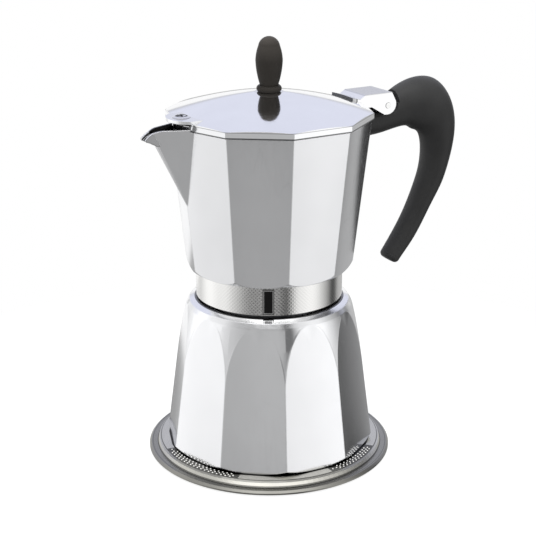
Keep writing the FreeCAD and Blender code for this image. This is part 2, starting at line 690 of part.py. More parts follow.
def hinge_bracket():
    back = PIN_X + BRACKET_BACK_OVER_PIN
    slope_end = BRACKET_FRONT + 3.0
    front_z = lid_surface(BRACKET_FRONT) + BRACKET_SHEET
    edge = LID_CORNER + LID_GAP
    outline = [
        (BRACKET_FRONT, front_z - BRACKET_SHEET - 1.0), (BRACKET_FRONT, front_z), (slope_end, BRACKET_TOP_Z),
        (back, BRACKET_TOP_Z), (PIN_X + CHEEK_RADIUS, PIN_Z + 2.0),
        [(PIN_X + 0.71 * CHEEK_RADIUS, PIN_Z - 0.71 * CHEEK_RADIUS), (PIN_X, PIN_Z - CHEEK_RADIUS)],
        (PIN_X - 2.0, PIN_Z - CHEEK_RADIUS), (edge + 3.0, LID_Z + 0.6), (edge, LID_Z + 0.6),
    ]
    hollow = [
        (BRACKET_FRONT + BRACKET_SHEET, LID_Z - 6.0), (BRACKET_FRONT + BRACKET_SHEET, front_z),
        (slope_end + 0.6 * BRACKET_SHEET, BRACKET_TOP_Z - BRACKET_SHEET),
        (back + 20.0, BRACKET_TOP_Z - BRACKET_SHEET), (back + 20.0, LID_Z - 6.0),
    ]
    shell = side_slab(outline, BRACKET_HALF).cut(side_slab(hollow, CHEEK_INNER))
    prism = facet_body(LID_CORNER, LID_Z - LID_SHEET, LID_CORNER, LID_TOP_Z)
    inside_lid = prism.common(lid_zone(0.0, LID_Z - LID_SHEET, LID_CORNER))
    shell = shell.cut(inside_lid)
    shell = joined(shell, foot_solid())
    drills = [crosswise(PIN_RADIUS + PIN_FIT, BRACKET_HALF + 1.0, PIN_X, PIN_Z)] + bracket_rivet_shanks()
    return shell.cut(drills)


def hinge_pin():
    return crosswise(PIN_RADIUS, BRACKET_HALF + 0.3, PIN_X, PIN_Z)


def lug_low_z():
    return RIM_Z - LUG_TOP_BELOW_RIM - LUG_HEIGHT


def lug_end_x():
    return collector_corner(lug_low_z()) + LUG_LENGTH


def handle_pin():
    x = lug_end_x() - 0.5 * LUG_LENGTH
    return crosswise(HANDLE_PIN_RADIUS, HANDLE_PIN_HALF, x, lug_low_z() + 0.5 * LUG_HEIGHT)


def oval(x, z, lean, thick, wide):
    """One oval section of the handle, leaning in the plane of the handle."""
    cos = math.cos(math.radians(lean))
    sin = math.sin(math.radians(lean))
    stretch = FreeCAD.Matrix(
        thick * cos, 0, -sin, x,
        0, wide, 0, 0,
        thick * sin, 0, cos, RIM_Z + z,
        0, 0, 0, 1)
    return Part.Wire(Part.makeCircle(1.0).transformGeometry(stretch).Edges)


def handle():
    """Curved grip, with a root that narrows to pass between the hinge's cheeks."""
    grip = Part.makeLoft([oval(*section) for section in HANDLE_SECTIONS], True, False)
    tip_face = min(grip.Faces, key=lambda face: face.CenterOfMass.z)
    grip = grip.makeFillet(HANDLE_TIP_ROUND, tip_face.Edges)
    knuckle = crosswise(KNUCKLE_RADIUS, ROOT_HALF, PIN_X, PIN_Z)
    sweep = math.hypot(BRACKET_BACK_OVER_PIN, BRACKET_TOP_OVER_PIN) + SWEEP_CLEARANCE
    stop_x = PIN_X + BRACKET_TOP_OVER_PIN + OPEN_CLEARANCE
    stand = block(PIN_X, stop_x, HANDLE_WIDE, PIN_Z, PIN_Z + 2 * sweep)
    pocket = crosswise(sweep, HANDLE_WIDE, PIN_X, PIN_Z).fuse(stand)
    under_pin = block(PIN_X - sweep, PIN_X + sweep, ROOT_HALF, PIN_Z - 2 * sweep, PIN_Z - KNUCKLE_SEAT)
    solid = joined(grip.cut(pocket.cut(under_pin)), knuckle)
    lug_slot = block(COLLECTOR_CORNER_TOP - LUG_ROOT, lug_end_x() + LUG_FIT, LUG_HALF + LUG_FIT,
                     lug_low_z() - LUG_FIT, lug_low_z() + LUG_HEIGHT + LUG_FIT)
    return solid.cut([collector_envelope(), lug_slot, hinge_pin(), handle_pin()])


def collector_envelope():
    return facet_body(collector_corner(COLLAR_TOP_Z), COLLAR_TOP_Z, COLLECTOR_CORNER_TOP, RIM_Z)


def knob_profile():
    """Round-edged ring at the foot, then an egg that is widest above its middle."""
    z = LID_TOP_Z
    top = z + KNOB_HEIGHT
    ring_z = z + KNOB_RING_HEIGHT
    edge = KNOB_RING - KNOB_RING_ROUND
    low_middle = (KNOB_NECK + 0.7 * (KNOB_RADIUS - KNOB_NECK), 0.5 * (ring_z + z + KNOB_WIDEST))
    crown_z = top - KNOB_CROWN
    high_middle = (KNOB_RADIUS - 0.3 * (KNOB_RADIUS - KNOB_CROWN_RADIUS), 0.5 * (z + KNOB_WIDEST + crown_z))
    return [
        (0, z), (edge, z), [(KNOB_RING, 0.5 * (z + ring_z)), (edge, ring_z)], (KNOB_NECK, ring_z),
        [low_middle, (KNOB_RADIUS, z + KNOB_WIDEST)], [high_middle, (KNOB_CROWN_RADIUS, crown_z)],
        dome(KNOB_CROWN_RADIUS, crown_z, top),
    ]


def knob():
    return turned(knob_profile()).cut(upright(KNOB_SCREW_RADIUS, LID_TOP_Z, LID_TOP_Z + KNOB_SCREW_DEPTH))


def knob_washer():
    under = LID_TOP_Z - LID_SHEET
    return ring(WASHER_RADIUS, KNOB_SCREW_RADIUS, under - WASHER_THICKNESS, under)


def knob_screw():
    seat = LID_TOP_Z - LID_SHEET - WASHER_THICKNESS
    shank = upright(KNOB_SCREW_RADIUS, seat, LID_TOP_Z + KNOB_SCREW_DEPTH)
    head = upright(KNOB_SCREW_HEAD, seat - 2.0, seat)
    return joined(shank, head)


PIECES = (induction_plate, boiler, valve_body, valve_washer, valve_cap, valve_plunger, valve_spring,
          funnel, funnel_screen, gasket, filter_plate, collector, riser_column, neck_band, band_badge,
          lid, tongue_rivet, hinge_bracket, bracket_rivets, hinge_pin, handle, handle_pin,
          knob, knob_washer, knob_screw)

os.makedirs("parts", exist_ok=True)
for piece in PIECES:
    shape = piece()
    solids = len(shape.Solids)
    print(piece.__name__, "solids", solids, "valid", shape.isValid(), "volume", round(shape.Volume, 1))
    shape.exportStep("parts/" + piece.__name__ + ".step")
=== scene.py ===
import math

import bmesh
import bpy
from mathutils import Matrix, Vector


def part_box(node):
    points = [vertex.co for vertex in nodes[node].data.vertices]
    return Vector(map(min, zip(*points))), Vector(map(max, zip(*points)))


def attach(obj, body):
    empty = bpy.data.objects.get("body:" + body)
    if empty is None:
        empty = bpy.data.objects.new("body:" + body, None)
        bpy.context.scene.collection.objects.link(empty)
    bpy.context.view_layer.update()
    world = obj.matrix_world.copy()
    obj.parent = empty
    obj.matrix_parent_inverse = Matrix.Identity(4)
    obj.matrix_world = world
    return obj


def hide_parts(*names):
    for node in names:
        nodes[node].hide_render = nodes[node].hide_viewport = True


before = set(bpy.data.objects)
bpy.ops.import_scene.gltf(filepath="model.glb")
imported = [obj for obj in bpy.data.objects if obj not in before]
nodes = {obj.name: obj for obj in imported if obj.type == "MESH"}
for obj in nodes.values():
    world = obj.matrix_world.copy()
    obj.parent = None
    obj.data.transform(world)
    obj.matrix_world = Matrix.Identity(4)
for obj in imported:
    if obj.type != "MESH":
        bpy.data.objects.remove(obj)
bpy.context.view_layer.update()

# The studio: a camera on the side between spout and handle, looking down from a little above the
# knob, a white table that takes a faint shadow, white screens with dark gaps round the pot, which its
# polished faces mirror, and two soft lamps for what isn't metal.
PHOTO_SIDE = 536
FOCAL_PIXELS = 1355.6
SENSOR = 36.0
VIEW_AZIMUTH = math.radians(-31.0)
VIEW_DISTANCE = 0.6226
VIEW_HEIGHT = 0.3015
VIEW_PITCH = math.radians(18.593)
VIEW_TURN = math.radians(0.046)

camera_data = bpy.data.cameras.new("photo_camera")
camera_data.sensor_width = SENSOR
camera_data.lens = FOCAL_PIXELS / PHOTO_SIDE * SENSOR
camera_data.clip_end = 20.0
camera = bpy.data.objects.new("photo_camera", camera_data)
bpy.context.collection.objects.link(camera)
camera.location = (
    math.sin(VIEW_AZIMUTH) * VIEW_DISTANCE,
    -math.cos(VIEW_AZIMUTH) * VIEW_DISTANCE,
    VIEW_HEIGHT,
)
camera.rotation_euler = (math.pi / 2 - VIEW_PITCH, 0.0, VIEW_AZIMUTH + VIEW_TURN)
bpy.context.scene.camera = camera
bpy.context.scene.view_settings.view_transform = "Standard"


def new_tree(owner):
    """An emptied node tree of a material or of the world."""
    owner.use_nodes = True
    tree = owner.node_tree
    tree.nodes.clear()
    return tree


def add_node(tree, kind, values=None, **settings):
    """A node with its settings and the plain values of its inputs."""
    node = tree.nodes.new(kind)
    for name, value in settings.items():
        setattr(node, name, value)
    for name, value in (values or {}).items():
        node.inputs[name].default_value = value
    return node


def join(tree, source, output, target, socket):
    """Links an output of one node to an input of another."""
    tree.links.new(source.outputs[output], target.inputs[socket])


def maths(tree, operation, first, second=None):
    """A sum or other operation on numbers, or on (node, output) pairs."""
    node = add_node(tree, "ShaderNodeMath", operation=operation)
    for index, value in enumerate((first, second)):
        if isinstance(value, tuple):
            join(tree, value[0], value[1], node, index)
        elif value is not None:
            node.inputs[index].default_value = value
    return node, 0


def ramp(tree, source, stops):
    """A colour ramp of (position, grey or colour) stops, fed by a (node, output) pair."""
    node = add_node(tree, "ShaderNodeValToRGB")
    elements = node.color_ramp.elements
    while len(elements) > 1:
        elements.remove(elements[-1])
    for index, (position, tone) in enumerate(stops):
        colour = tone if isinstance(tone, tuple) else (tone, tone, tone)
        element = elements[0] if index == 0 else elements.new(position)
        element.position = position
        element.color = (*colour, 1.0)
    join(tree, source[0], source[1], node, 0)
    return node, 0


# Brightness of the screens by direction, in degrees to the right of the camera. The heights below are
# the upward part of a direction, from -1 straight down to 1 straight up.
ROOM_TONES = (
    (-180, 0.50), (-160, 0.40), (-140, 0.75), (-112, 1.18), (-98, 1.16), (-90, 1.04), (-70, 1.02),
    (-56, 0.70), (-44, 0.56), (-32, 0.50), (-24, 0.45), (-13, 0.505), (6, 0.49), (15, 0.50),
    (19, 0.44), (24, 0.12), (30, 0.13), (38, 0.70), (45, 0.94), (55, 1.03), (67, 1.15),
    (78, 1.08), (91, 0.72), (99, 0.52), (107, 0.38), (115, 0.14), (121, 0.12), (126, 0.20),
    (131, 0.26), (137, 0.50), (156, 0.58), (180, 0.50),
)
DIMMER_FROM = -0.13            # the screens lose brightness towards the floor
DIMMER_FULL = -0.50
DIMMER_LOSS = 0.23
SIDE_CARD = ((-180, 0.0), (-174, 0.0), (-170, 1.0), (-144, 1.0), (-138, 0.0), (180, 0.0))
SIDE_CARD_HEIGHTS = (-0.338, -0.12)
DARK_GAP = ((-180, 0.0), (-50, 0.0), (-32, 0.8), (8, 1.0), (22, 0.85), (42, 0.0), (180, 0.0))
DARK_GAP_HEIGHTS = (-0.388, -0.275)
DARK_GAP_TONE = 0.08
RIGHT_GAP = ((-180, 0.0), (103, 0.0), (112, 1.0), (125, 1.0), (131, 0.0), (180, 0.0))
RIGHT_GAP_HEIGHTS = (-0.39, -0.338)
RIGHT_GAP_TONE = 0.02
GROUND_TONE = 0.18
GROUND_FROM = -0.74
GROUND_FULL = -0.86
CEILING_TONE = (0.76, 0.78, 0.90)
CEILING_FROM = 0.12
CEILING_FULL = 0.24
FRONT_FLAG = ((-180, 0.0), (-132, 0.0), (-112, 1.0), (112, 1.0), (132, 0.0), (180, 0.0))
FRONT_FLAG_HEIGHTS = (-0.1, 1.1)
UPPER_FROM = 0.28              # and lose a little towards the top as well
UPPER_FULL = 0.58
UPPER_LOSS = 0.16
TOP_CARD = ((-180, 0.0), (-75, 0.0), (-45, 1.0), (45, 1.0), (75, 0.0), (180, 0.0))
TOP_CARD_HEIGHTS = (0.72, 0.97)
TOP_CARD_TONE = 1.9
BACK_CARD = ((-180, 1.0), (-150, 1.0), (-130, 0.0), (140, 0.0), (160, 1.0), (180, 1.0))
BACK_CARD_HEIGHTS = (-0.06, 0.15)
SOFT_EDGE = 0.008

world = bpy.data.worlds.new("studio")
bpy.context.scene.world = world
sky = new_tree(world)
direction = add_node(sky, "ShaderNodeTexCoord")
toward = add_node(sky, "ShaderNodeVectorMath", operation="DOT_PRODUCT")
toward.inputs[1].default_value = (math.sin(VIEW_AZIMUTH), -math.cos(VIEW_AZIMUTH), 0.0)
rightward = add_node(sky, "ShaderNodeVectorMath", operation="DOT_PRODUCT")
rightward.inputs[1].default_value = (math.cos(VIEW_AZIMUTH), math.sin(VIEW_AZIMUTH), 0.0)
height = add_node(sky, "ShaderNodeSeparateXYZ")
for reader in (toward, rightward, height):
    join(sky, direction, "Generated", reader, 0)
bearing = maths(sky, "ARCTAN2", (rightward, "Value"), (toward, "Value"))
spread = add_node(sky, "ShaderNodeMapRange", {"From Min": -math.pi, "From Max": math.pi})
join(sky, *bearing, spread, 0)


def by_bearing(tones):
    """Tones by direction, from (degrees to the right of the camera, tone) stops."""
    return ramp(sky, (spread, 0), [((angle + 180) / 360, tone) for angle, tone in tones])


def by_height(start, full):
    """A mask that goes from 0 to 1 between two heights."""
    node = add_node(sky, "ShaderNodeMapRange", {"From Min": start, "From Max": full},
                    interpolation_type="SMOOTHSTEP")
    join(sky, height, "Z", node, 0)
    return node, 0


def lay_over(below, colour, mask):
    """One colour over what is below it, where the mask is 1."""
    node = add_node(sky, "ShaderNodeMix", data_type="RGBA")
    node.inputs[7].default_value = (*colour, 1.0)
    join(sky, *mask, node, 0)
    join(sky, *below, node, 6)
    return node, 2


def card(tones, heights, soft):
    """The mask of a screen that stands in some directions, between two heights."""
    low, high = heights
    inside = maths(sky, "MULTIPLY", by_height(low - soft, low + soft), by_height(high + soft, high - soft))
    return maths(sky, "MULTIPLY", by_bearing(tones), inside)


def grey(tone):
    return (tone, tone, tone)


dimmer = maths(sky, "MULTIPLY", by_height(DIMMER_FROM, DIMMER_FULL), DIMMER_LOSS)
room = lay_over(by_bearing(ROOM_TONES), grey(0.0), dimmer)
room = lay_over(room, grey(0.0), maths(sky, "MULTIPLY", by_height(UPPER_FROM, UPPER_FULL), UPPER_LOSS))
room = lay_over(room, grey(1.0), card(SIDE_CARD, SIDE_CARD_HEIGHTS, 0.5 * SOFT_EDGE))
room = lay_over(room, grey(DARK_GAP_TONE), card(DARK_GAP, DARK_GAP_HEIGHTS, 2 * SOFT_EDGE))
room = lay_over(room, grey(RIGHT_GAP_TONE), card(RIGHT_GAP, RIGHT_GAP_HEIGHTS, 0.5 * SOFT_EDGE))
room = lay_over(room, grey(GROUND_TONE), by_height(GROUND_FROM, GROUND_FULL))
front = card(FRONT_FLAG, FRONT_FLAG_HEIGHTS, 6 * SOFT_EDGE)
ceiling = maths(sky, "MULTIPLY", by_height(CEILING_FROM, CEILING_FULL), maths(sky, "SUBTRACT", 1.0, front))
room = lay_over(room, CEILING_TONE, ceiling)
room = lay_over(room, grey(TOP_CARD_TONE), card(TOP_CARD, TOP_CARD_HEIGHTS, 4 * SOFT_EDGE))
room = lay_over(room, grey(1.0), card(BACK_CARD, BACK_CARD_HEIGHTS, 3 * SOFT_EDGE))
lit = add_node(sky, "ShaderNodeBackground", {"Strength": 1.0})
join(sky, *room, lit, "Color")
white = add_node(sky, "ShaderNodeBackground", {"Color": (1, 1, 1, 1), "Strength": 1.0})
ray = add_node(sky, "ShaderNodeLightPath")
choice = add_node(sky, "ShaderNodeMixShader")
join(sky, ray, "Is Camera Ray", choice, 0)
join(sky, lit, 0, choice, 1)
join(sky, white, 0, choice, 2)
sky_out = add_node(sky, "ShaderNodeOutputWorld")
join(sky, choice, 0, sky_out, 0)


def surface_place(tree):
    """Where a point lies in the part's frame, as a (node, output) pair."""
    return add_node(tree, "ShaderNodeTexCoord"), "Object"


def axis_distance(tree):
    """Distance from the pot's axis, as a (node, output) pair."""
    flat = add_node(tree, "ShaderNodeVectorMath", operation="MULTIPLY")
    flat.inputs[1].default_value = (1, 1, 0)
    join(tree, *surface_place(tree), flat, 0)
    radius = add_node(tree, "ShaderNodeVectorMath", operation="LENGTH")
    join(tree, flat, 0, radius, 0)
    return radius, "Value"


TABLE_HALF = 3.0
TABLE_GLOW = 0.86              # share of the table that stays white in view, near the pot
SHADOW_REACH = (0.10, 0.25)    # from the axis: all of the shadow, and none of it
LAMP_AIM = Vector((0, 0, 0.1))
table_mesh = bpy.data.meshes.new("table")
table_mesh.from_pydata(
    [(-TABLE_HALF, -TABLE_HALF, 0), (TABLE_HALF, -TABLE_HALF, 0),
     (TABLE_HALF, TABLE_HALF, 0), (-TABLE_HALF, TABLE_HALF, 0)], [], [(0, 1, 2, 3)])
table = bpy.data.objects.new("table", table_mesh)
bpy.context.collection.objects.link(table)
table.visible_glossy = False   # the metal mirrors the screens alone
table.visible_diffuse = False  # and the table throws no light back on the plastics
table_paint = bpy.data.materials.new("white_table")
paint = new_tree(table_paint)
matt = add_node(paint, "ShaderNodeBsdfDiffuse", {"Color": (0.95, 0.95, 0.95, 1)})
glow = add_node(paint, "ShaderNodeEmission", {"Color": (1, 1, 1, 1), "Strength": 1.0})
table_ray = add_node(paint, "ShaderNodeLightPath")
whitening = add_node(paint, "ShaderNodeMapRange", {
    "From Min": SHADOW_REACH[0], "From Max": SHADOW_REACH[1], "To Min": TABLE_GLOW, "To Max": 1.0})
join(paint, *axis_distance(paint), whitening, 0)
share = maths(paint, "MULTIPLY", (table_ray, "Is Camera Ray"), (whitening, 0))
table_mix = add_node(paint, "ShaderNodeMixShader")
join(paint, *share, table_mix, 0)
join(paint, matt, 0, table_mix, 1)
join(paint, glow, 0, table_mix, 2)
table_out = add_node(paint, "ShaderNodeOutputMaterial")
join(paint, table_mix, 0, table_out, 0)
table_mesh.materials.append(table_paint)


def soft_lamp(name, place, side, watts):
    """A square soft box that points at the pot and doesn't show in its polished faces."""
    data = bpy.data.lights.new(name, "AREA")
    data.size = side
    data.energy = watts
    lamp = bpy.data.objects.new(name, data)
    bpy.context.collection.objects.link(lamp)
    lamp.location = place
    lamp.rotation_euler = (LAMP_AIM - Vector(place)).to_track_quat("-Z", "Y").to_euler()
    lamp.visible_glossy = False


soft_lamp("top_box", (0.03, -0.02, 2.2), 0.3, 75.0)
soft_lamp("front_box", (-0.60, -0.85, 0.35), 0.3, 4.0)

# The base plate: a thick stepped disc of stainless steel that makes the pot fit an induction hob,
# turned on a lathe, with pressed pearls in curved slots round the boiler's foot.
PLATE_STEEL = (0.60, 0.59, 0.545)
FLANGE_TONE = 0.52             # painted shade on the flange, against the top of the step
ROLL_SLOPE = 1.50              # of the step's side, which is rolled softer than it is drawn
FLANGE_FROM = 0.0559
PLATE_STEP = 0.0542
PLATE_LINES = (0.0558, 0.0584)
LINE_HALF = 0.00022
LINE_SHADE = 0.72              # painted shade: how much darker the turned lines and the pearls' beds are
BED_SHADE = 0.85
# darkest tone of the plate's painted shade, reached in the gap round the boiler's foot
PAINTED_SHADE_DARKEST = 0.03
FACET_ANGLE = math.radians(36)
BOILER_TURN = math.radians(-3.5)
FOOT_CORNER = 0.0516
FOOT_FLAT = FOOT_CORNER * math.cos(0.5 * FACET_ANGLE)
SEAM_CORNER = 0.0503
FOOT_SEAM = 0.0007             # width of the painted shadow in the seam round the boiler's ten-sided foot
BED_EDGE = 0.0540
PEARL_ROWS = (0.0507, 0.0521, 0.0534)
PEARL_RADIUS = 0.00048
PEARL_RISE = 0.00042
PEARL_PITCH = 0.0024
PEARL_STAGGER = 0.25           # shift of a row along the slot, as a share of the pitch
PEARL_SIDES = 7
PEARL_DOME = ((1.0, 0.0), (0.72, 0.7))                     # shares of the radius and of the rise
SLOTS = ((-187, -138), (-86, -51), (-7, 42), (94, 129))    # degrees from the handle


def group_ends(group, inputs, outputs):
    """Gives a node group its sockets, and returns its two end nodes."""
    for name, kind, value in inputs:
        socket = group.interface.new_socket(name, in_out="INPUT", socket_type="NodeSocket" + kind)
        if value is not None:
            socket.default_value = value
    for name, kind in outputs:
        group.interface.new_socket(name, in_out="OUTPUT", socket_type="NodeSocket" + kind)
    return group.nodes.new("NodeGroupInput"), group.nodes.new("NodeGroupOutput")


def place_parts(tree):
    """A node with the X, Y and Z of a point in the part's frame."""
    parts = add_node(tree, "ShaderNodeSeparateXYZ")
    join(tree, *surface_place(tree), parts, 0)
    return parts


def multiply(tree, first, second):
    """Two colours multiplied, from and as (node, output) pairs."""
    node = add_node(tree, "ShaderNodeMix", {0: 1.0}, data_type="RGBA", blend_type="MULTIPLY")
    join(tree, *first, node, 6)
    join(tree, *second, node, 7)
    return node, 2


def finish_start(name, depth, more_inputs=()):
    """A node group with the sockets that every finish has, and its two end nodes."""
    group = bpy.data.node_groups.new(name, "ShaderNodeTree")
    inputs = (("Colour", "Color", None), ("Roughness", "Float", None), ("Depth", "Float", depth))
    outputs = (("Colour", "Color"), ("Roughness", "Float"), ("Normal", "Vector"))
    start, end = group_ends(group, inputs + more_inputs, outputs)
    return group, start, end


def finish_end(group, start, end, grain, clouds, swing, strength, wear=0.0):
    """Puts clouds, as (scale, darkest tone), into a finish's colour, and its grain into the rest."""
    scale, dullest = clouds
    mist = add_node(group, "ShaderNodeTexNoise", {"Scale": scale, "Detail": 3.0})
    join(group, *surface_place(group), mist, "Vector")
    fade = ramp(group, (mist, 0), ((0.3, dullest), (0.7, 1.0)))
    change = maths(group, "MULTIPLY", maths(group, "SUBTRACT", (grain, 0), 0.5), swing)
    rough = maths(group, "ADD", (start, "Roughness"), maths(group, "ADD", change, wear))
    bump = add_node(group, "ShaderNodeBump", {"Strength": strength})
    join(group, start, "Depth", bump, "Distance")
    join(group, grain, 0, bump, "Height")
    join(group, *multiply(group, (start, "Colour"), fade), end, "Colour")
    join(group, *rough, end, "Roughness")
    join(group, bump, 0, end, "Normal")
    return bump


def lathe_group():
    """Fine rings that a lathe leaves round the pot's axis, with faint clouds in the polish."""
    group, start, end = finish_start("lathe_rings", 0.00002)
    rise = maths(group, "ADD", axis_distance(group), (place_parts(group), "Z"))
    rings = add_node(group, "ShaderNodeTexNoise", {"Scale": 2600.0, "Detail": 3.0}, noise_dimensions="1D")
    join(group, *rise, rings, "W")
    finish_end(group, start, end, rings, clouds=(70.0, 0.9), swing=0.12, strength=0.35)
    return group


def facet_group():
    """Ten facets round the axis: how far out a point lies towards its own one, and a slight crown."""
    group = bpy.data.node_groups.new("ten_facets", "ShaderNodeTree")
    inputs = (("Turn", "Float", 0.0), ("Crown Radius", "Float", 1.0))
    start, end = group_ends(group, inputs, (("Outward", "Float"), ("Crown", "Float")))
    parts = place_parts(group)
    angle = maths(group, "ARCTAN2", (parts, "Y"), (parts, "X"))
    turned = maths(group, "SUBTRACT", maths(group, "ADD", angle, 4 * math.pi), (start, "Turn"))
    from_middle = maths(group, "SUBTRACT", maths(group, "MODULO", turned, FACET_ANGLE), 0.5 * FACET_ANGLE)
    radius = axis_distance(group)
    across = maths(group, "MULTIPLY", radius, maths(group, "SINE", from_middle))
    outward = maths(group, "MULTIPLY", radius, maths(group, "COSINE", from_middle))
    bend = maths(group, "DIVIDE", -0.5, (start, "Crown Radius"))
    crown = maths(group, "MULTIPLY", maths(group, "MULTIPLY", across, across), bend)
    join(group, *outward, end, "Outward")
    join(group, *crown, end, "Crown")
    return group


def plain_material(name, group, values, **shader):
    """A material whose colour, roughness and grain come from one of the finish groups."""
    material = bpy.data.materials.new(name)
    tree = new_tree(material)
    surface = add_node(tree, "ShaderNodeGroup", values, node_tree=group)
    surface.name = "surface"
    body = add_node(tree, "ShaderNodeBsdfPrincipled", shader)
    body.name = "body"
    out = add_node(tree, "ShaderNodeOutputMaterial")
    join(tree, surface, "Colour", body, "Base Color")
    join(tree, surface, "Roughness", body, "Roughness")
    join(tree, surface, "Normal", body, "Normal")
    join(tree, body, 0, out, 0)
    return material


def tone_down(tree, tone):
    """Multiplies a finish's colour by a tone that changes over the piece."""
    tinted = multiply(tree, (tree.nodes["surface"], "Colour"), tone)
    join(tree, *tinted, tree.nodes["body"], "Base Color")


def bend_light(tree, height, strength, distance):
    """Adds a low relief to a finish's own grain."""
    bump = add_node(tree, "ShaderNodeBump", {"Strength": strength, "Distance": distance})
    join(tree, *height, bump, "Height")
    join(tree, tree.nodes["surface"], "Normal", bump, "Normal")
    join(tree, bump, 0, tree.nodes["body"], "Normal")


def shade(piece, crease_degrees):
    """Welds a piece's triangles and shades it smooth between corners sharper than the crease."""
    group = bpy.data.node_groups.get("weld_and_smooth")
    if group is None:
        group = bpy.data.node_groups.new("weld_and_smooth", "GeometryNodeTree")
        inputs = (("Geometry", "Geometry", None), ("Crease", "Float", 0.5))
        start, end = group_ends(group, inputs, (("Geometry", "Geometry"),))
        weld = add_node(group, "GeometryNodeMergeByDistance", {"Distance": 2e-6})
        faces = add_node(group, "GeometryNodeSetShadeSmooth", domain="FACE")
        edges = add_node(group, "GeometryNodeSetShadeSmooth", domain="EDGE")
        angle = add_node(group, "GeometryNodeInputMeshEdgeAngle")
        below = add_node(group, "FunctionNodeCompare", operation="LESS_THAN")
        join(group, start, "Geometry", weld, "Geometry")
        join(group, weld, "Geometry", faces, 0)
        join(group, faces, 0, edges, 0)
        join(group, angle, "Unsigned Angle", below, 0)
        join(group, start, "Crease", below, 1)
        join(group, below, "Result", edges, "Shade Smooth")
        join(group, edges, 0, end, 0)
    modifier = piece.modifiers.new("smooth", "NODES")
    modifier.node_group = group
    modifier["Socket_1"] = math.radians(crease_degrees)


def dress(names, material, crease_degrees):
    """Gives CAD nodes their material and shading."""
    for name in names:
        piece = nodes[name]
        piece.data.materials.clear()
        piece.data.materials.append(material)
        shade(piece, crease_degrees)


lathe = lathe_group()
facets = facet_group()
plate_steel = plain_material(
    "plate_steel", lathe, {"Colour": (*PLATE_STEEL, 1), "Roughness": 0.27, "Depth": 0.00003}, Metallic=1.0)
plate_tree = plate_steel.node_tree
plate_radius = axis_distance(plate_tree)
# Painted shade in the turned lines and in the pearls' beds.
groove = 0.0
for line in (PLATE_STEP,) + PLATE_LINES:
    away = maths(plate_tree, "ABSOLUTE", maths(plate_tree, "SUBTRACT", plate_radius, line))
    groove = maths(plate_tree, "MAXIMUM", maths(plate_tree, "LESS_THAN", away, LINE_HALF), groove)
groove = maths(plate_tree, "MULTIPLY", groove, LINE_SHADE)
plate_parts = place_parts(plate_tree)
plate_turn = maths(plate_tree, "ARCTAN2", (plate_parts, "Y"), (plate_parts, "X"))
bed = 0.0
for first, last in SLOTS:
    middle = math.radians(0.5 * (first + last))
    half = math.radians(0.5 * (last - first)) + 0.5 * PEARL_PITCH / BED_EDGE
    turned = maths(plate_tree, "COSINE", maths(plate_tree, "SUBTRACT", plate_turn, middle))
    bed = maths(plate_tree, "MAXIMUM", maths(plate_tree, "GREATER_THAN", turned, math.cos(half)), bed)
bed = maths(plate_tree, "MULTIPLY", bed, maths(plate_tree, "LESS_THAN", plate_radius, BED_EDGE))
bed = maths(plate_tree, "MULTIPLY", bed, BED_SHADE)
foot = add_node(plate_tree, "ShaderNodeGroup", {"Turn": BOILER_TURN}, node_tree=facets)
# Painted shadow in the gap round the boiler's ten-sided foot.
near_foot = maths(plate_tree, "LESS_THAN", (foot, "Outward"), FOOT_FLAT + FOOT_SEAM)
foot_gap_shadow = maths(plate_tree, "MULTIPLY", near_foot, maths(plate_tree, "LESS_THAN", plate_radius, SEAM_CORNER))
# Painted shade: the flange is darkened against the top of the step.
flange = maths(plate_tree, "GREATER_THAN", plate_radius, FLANGE_FROM)
dark = maths(plate_tree, "MULTIPLY", flange, 1.0 - FLANGE_TONE)
for mark in (foot_gap_shadow, groove, bed):
    dark = maths(plate_tree, "MAXIMUM", dark, mark)
tone_down(plate_tree, ramp(plate_tree, dark, ((0.0, 1.0), (1.0, PAINTED_SHADE_DARKEST))))
roll_out = maths(plate_tree, "MINIMUM", maths(plate_tree, "MAXIMUM", plate_radius, PLATE_STEP), FLANGE_FROM)
bend_light(plate_tree, roll_out, strength=1.0, distance=ROLL_SLOPE)
dress(["induction_plate"], plate_steel, 15.0)


def mesh_piece(name, builder, body, material):
    """A new piece from a mesh that the builder fills, riding on a body."""
    mesh = bpy.data.meshes.new(name)
    work = bmesh.new()
    builder(work)
    bmesh.ops.recalc_face_normals(work, faces=work.faces)
    for face in work.faces:
        face.smooth = True
    work.to_mesh(mesh)
    work.free()
    mesh.materials.append(material)
    piece = bpy.data.objects.new(name, mesh)
    bpy.context.collection.objects.link(piece)
    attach(piece, body)
    return piece


def add_pearl(work, centre):
    """One small dome, of two rings of points and a crown."""
    rings = []
    for share_out, share_up in PEARL_DOME:
        ring = []
        for side in range(PEARL_SIDES):
            turn = 2 * math.pi * side / PEARL_SIDES
            out = PEARL_RADIUS * share_out
            offset = Vector((out * math.cos(turn), out * math.sin(turn), PEARL_RISE * share_up))
            ring.append(work.verts.new(centre + offset))
        rings.append(ring)
    crown = work.verts.new(centre + Vector((0, 0, PEARL_RISE)))
    lower, upper = rings
    for side in range(PEARL_SIDES):
        after = (side + 1) % PEARL_SIDES
        work.faces.new((lower[side], lower[after], upper[after], upper[side]))
        work.faces.new((upper[side], upper[after], crown))


def build_pearls(work):
    """Pearls in staggered rows, of which the outer ones are shorter and so round each slot's ends."""
    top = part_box("induction_plate")[1][2]
    for row, radius in enumerate(PEARL_ROWS):
        inset = 0.0 if 0 < row < len(PEARL_ROWS) - 1 else PEARL_PITCH
        shift = 0.5 + PEARL_STAGGER * (-1) ** row
        for first, last in SLOTS:
            span = math.radians(last - first) * radius - 2 * inset
            count = int(span / PEARL_PITCH) + 1
            for index in range(count):
                angle = math.radians(first) + (inset + (index + shift) * span / count) / radius
                add_pearl(work, Vector((radius * math.cos(angle), radius * math.sin(angle), top)))


